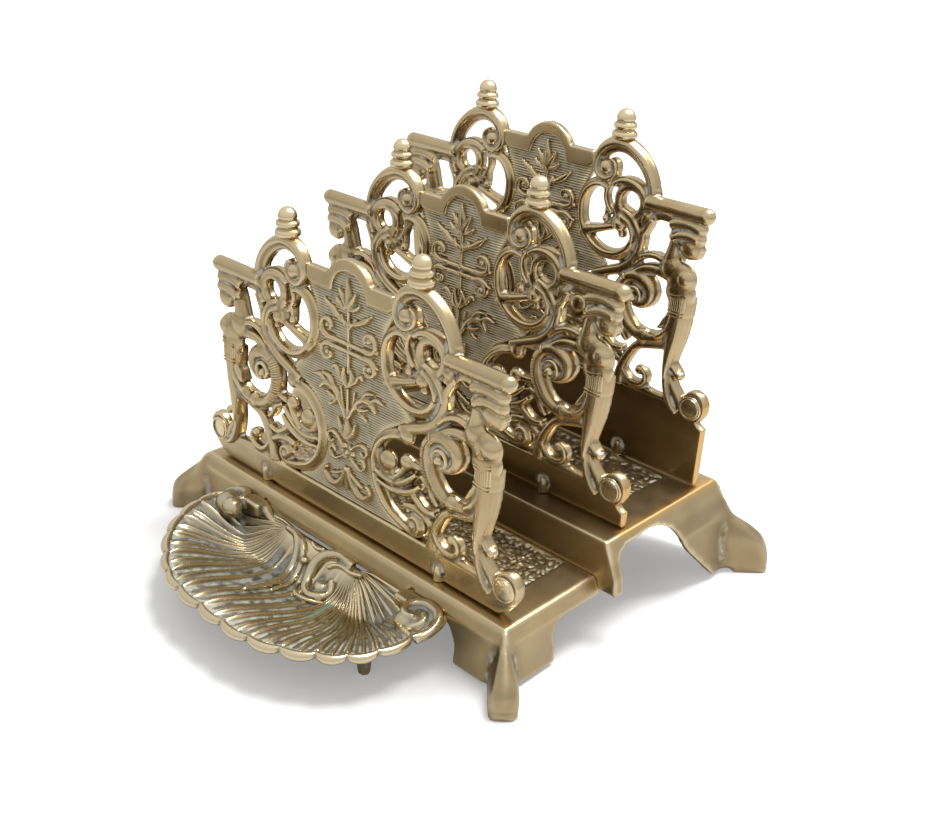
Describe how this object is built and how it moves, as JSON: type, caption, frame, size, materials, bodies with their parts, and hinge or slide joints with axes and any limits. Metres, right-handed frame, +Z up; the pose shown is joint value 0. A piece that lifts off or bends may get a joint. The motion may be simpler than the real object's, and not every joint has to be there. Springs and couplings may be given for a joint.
{
  "type": "letter rack",
  "caption": "Cast brass letter rack: pierced scroll-work plates standing on a stepped, footed base, with a scallop shell dish in front.",
  "frame": {"origin": "middle of the rack's footprint, on the table that it stands on", "axes": "+X along the plates to the right as seen from the front, +Y to the back, +Z up; the shell dish faces -Y"},
  "size_m": [0.209, 0.1952, 0.1694],
  "materials": {
    "cast_brass": "aged cast brass, polished on the high places, dark in the recesses",
    "fastener_brass": "dull turned brass"
  },
  "bodies": {
    "root": {"front_tread": "cast_brass", "rear_tread": "cast_brass", "front_plate": "cast_brass", "middle_plate": "cast_brass", "back_plate": "cast_brass", "shell_tray": "cast_brass", "plate_screws": "fastener_brass", "plate_washers": "fastener_brass", "tray_screws": "fastener_brass", "tray_washers": "fastener_brass", "tread_bolts": "fastener_brass", "tread_nuts": "fastener_brass"}
  },
  "joints": []
}
